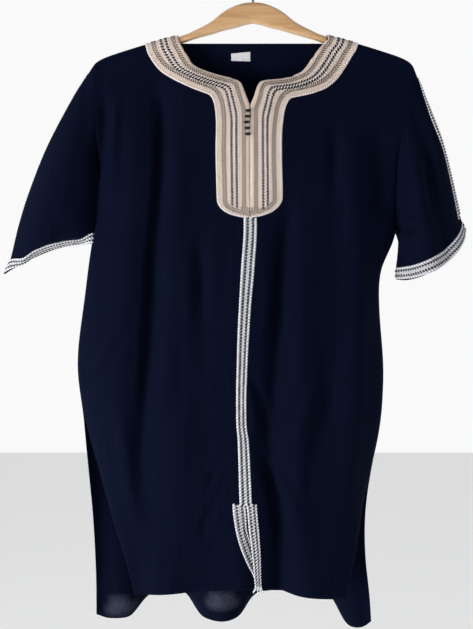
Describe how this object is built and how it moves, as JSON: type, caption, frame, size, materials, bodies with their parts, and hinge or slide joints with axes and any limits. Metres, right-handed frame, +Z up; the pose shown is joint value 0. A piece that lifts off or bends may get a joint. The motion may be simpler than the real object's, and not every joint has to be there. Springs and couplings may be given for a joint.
{
  "type": "moroccan kaftan on a wooden hanger",
  "caption": "Wide short-sleeved dark kaftan with a braided neck band and bib, a braid strip to the hem vent and side slits, hanging on a plain wooden hanger with a wire hook.",
  "frame": {"origin": "inside top of the hanger's hook, where a rail carries it", "axes": "+Z up along the hanging garment, +X to the right of a viewer in front of it, the front faces -Y"},
  "size_m": [0.6697, 0.1275, 0.9729],
  "materials": {
    "navy_cloth": "thin plain-woven dark navy cloth, nearly matt",
    "cream_braid": "cream and beige silk-like braid with dark thread rows",
    "silver_braid": "silver-white and black twisted braid",
    "knot_thread": "dark wound thread",
    "hanger_wood": "clear satin lacquer on light wood",
    "hook_steel": "polished steel wire",
    "label_tape": "blank white woven tape"
  },
  "bodies": {
    "root": {"hanger_hook": "hook_steel", "hanger_wood": "hanger_wood", "front_left": "navy_cloth", "front_right": "navy_cloth", "back_panel": "navy_cloth", "sleeve_left": "navy_cloth", "sleeve_right": "navy_cloth", "neck_band_left": "cream_braid", "neck_band_right": "cream_braid", "neck_band_back": "cream_braid", "front_strip": "silver_braid", "vent_strip_left": "silver_braid", "vent_strip_right": "silver_braid", "cuff_trim_left": "silver_braid", "cuff_trim_right": "silver_braid", "sleeve_strip_left": "silver_braid", "sleeve_strip_right": "silver_braid", "knot_1": "knot_thread", "knot_2": "knot_thread", "knot_3": "knot_thread", "knot_4": "knot_thread", "knot_5": "knot_thread", "label": "label_tape"}
  },
  "joints": []
}
